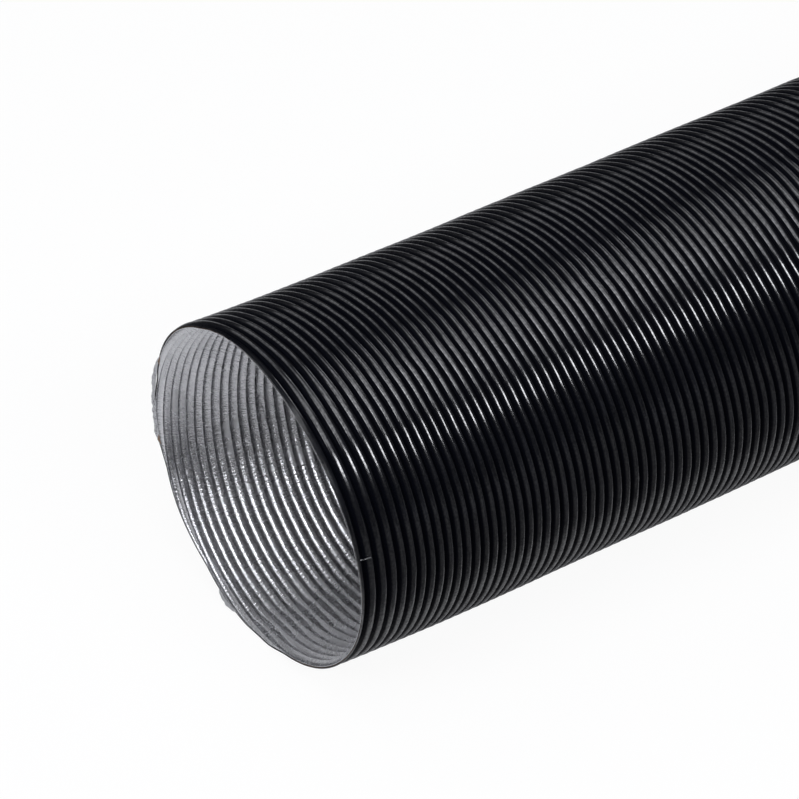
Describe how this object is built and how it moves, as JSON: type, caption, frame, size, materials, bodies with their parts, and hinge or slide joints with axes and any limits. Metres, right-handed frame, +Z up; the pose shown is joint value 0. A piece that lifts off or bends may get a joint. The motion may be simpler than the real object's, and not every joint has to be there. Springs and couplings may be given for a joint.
{
  "type": "flexible air duct",
  "caption": "Ribbed flexible air duct of foil, paper and black film, open at both ends, that bends, stretches and stays put, and slips over a round spigot at either end.",
  "frame": {"origin": "centre of the inlet's cut end, on the duct's axis", "axes": "+X along the duct from inlet to outlet, +Z up, with the duct lying on its side"},
  "size_m": [0.498, 0.104, 0.1035],
  "materials": {
    "film": "black plastic film with a soft gloss, pressed into fine ribs",
    "paper": "brown kraft paper, seen only at the cut edges",
    "foil": "bare aluminium foil, wrinkled between the ribs"
  },
  "bodies": {
    "inlet_cuff": {"inlet_cuff_film": "film", "inlet_cuff_paper": "paper", "inlet_cuff_foil": "foil", "bellows_1_film": "film", "bellows_1_paper": "paper", "bellows_1_foil": "foil"},
    "ring_1": {"ring_1_film": "film", "ring_1_paper": "paper", "ring_1_foil": "foil", "bellows_2_film": "film", "bellows_2_paper": "paper", "bellows_2_foil": "foil"},
    "ring_2": {"ring_2_film": "film", "ring_2_paper": "paper", "ring_2_foil": "foil", "bellows_3_film": "film", "bellows_3_paper": "paper", "bellows_3_foil": "foil"},
    "ring_3": {"ring_3_film": "film", "ring_3_paper": "paper", "ring_3_foil": "foil", "bellows_4_film": "film", "bellows_4_paper": "paper", "bellows_4_foil": "foil"},
    "ring_4": {"ring_4_film": "film", "ring_4_paper": "paper", "ring_4_foil": "foil", "bellows_5_film": "film", "bellows_5_paper": "paper", "bellows_5_foil": "foil"},
    "ring_5": {"ring_5_film": "film", "ring_5_paper": "paper", "ring_5_foil": "foil", "bellows_6_film": "film", "bellows_6_paper": "paper", "bellows_6_foil": "foil"},
    "ring_6": {"ring_6_film": "film", "ring_6_paper": "paper", "ring_6_foil": "foil", "bellows_7_film": "film", "bellows_7_paper": "paper", "bellows_7_foil": "foil"},
    "ring_7": {"ring_7_film": "film", "ring_7_paper": "paper", "ring_7_foil": "foil", "bellows_8_film": "film", "bellows_8_paper": "paper", "bellows_8_foil": "foil"},
    "ring_8": {"ring_8_film": "film", "ring_8_paper": "paper", "ring_8_foil": "foil", "bellows_9_film": "film", "bellows_9_paper": "paper", "bellows_9_foil": "foil"},
    "outlet_cuff": {"outlet_cuff_film": "film", "outlet_cuff_paper": "paper", "outlet_cuff_foil": "foil"}
  },
  "joints": [
    {"name": "swing_1", "type": "hinge", "parent": "inlet_cuff", "child": "ring_1", "pos_m": [0.057, 0, 0], "axis": [0, 0, 1], "range_deg": [-18, 18], "deforming": ["bellows_1_film", "bellows_1_paper", "bellows_1_foil"]},
    {"name": "lift_1", "type": "hinge", "parent": "ring_1", "child": "ring_2", "pos_m": [0.105, 0, 0], "axis": [0, 1, 0], "range_deg": [-18, 18], "deforming": ["bellows_2_film", "bellows_2_paper", "bellows_2_foil"]},
    {"name": "stretch_1", "type": "slide", "parent": "ring_2", "child": "ring_3", "axis": [1, 0, 0], "range_m": [-0.015, 0.01], "deforming": ["bellows_3_film", "bellows_3_paper", "bellows_3_foil"]},
    {"name": "swing_2", "type": "hinge", "parent": "ring_3", "child": "ring_4", "pos_m": [0.201, 0, 0], "axis": [0, 0, 1], "range_deg": [-18, 18], "deforming": ["bellows_4_film", "bellows_4_paper", "bellows_4_foil"]},
    {"name": "lift_2", "type": "hinge", "parent": "ring_4", "child": "ring_5", "pos_m": [0.249, 0, 0], "axis": [0, 1, 0], "range_deg": [-18, 18], "deforming": ["bellows_5_film", "bellows_5_paper", "bellows_5_foil"]},
    {"name": "stretch_2", "type": "slide", "parent": "ring_5", "child": "ring_6", "axis": [1, 0, 0], "range_m": [-0.015, 0.01], "deforming": ["bellows_6_film", "bellows_6_paper", "bellows_6_foil"]},
    {"name": "swing_3", "type": "hinge", "parent": "ring_6", "child": "ring_7", "pos_m": [0.345, 0, 0], "axis": [0, 0, 1], "range_deg": [-18, 18], "deforming": ["bellows_7_film", "bellows_7_paper", "bellows_7_foil"]},
    {"name": "lift_3", "type": "hinge", "parent": "ring_7", "child": "ring_8", "pos_m": [0.393, 0, 0], "axis": [0, 1, 0], "range_deg": [-18, 18], "deforming": ["bellows_8_film", "bellows_8_paper", "bellows_8_foil"]},
    {"name": "stretch_3", "type": "slide", "parent": "ring_8", "child": "outlet_cuff", "axis": [1, 0, 0], "range_m": [-0.015, 0.01], "deforming": ["bellows_9_film", "bellows_9_paper", "bellows_9_foil"]}
  ]
}
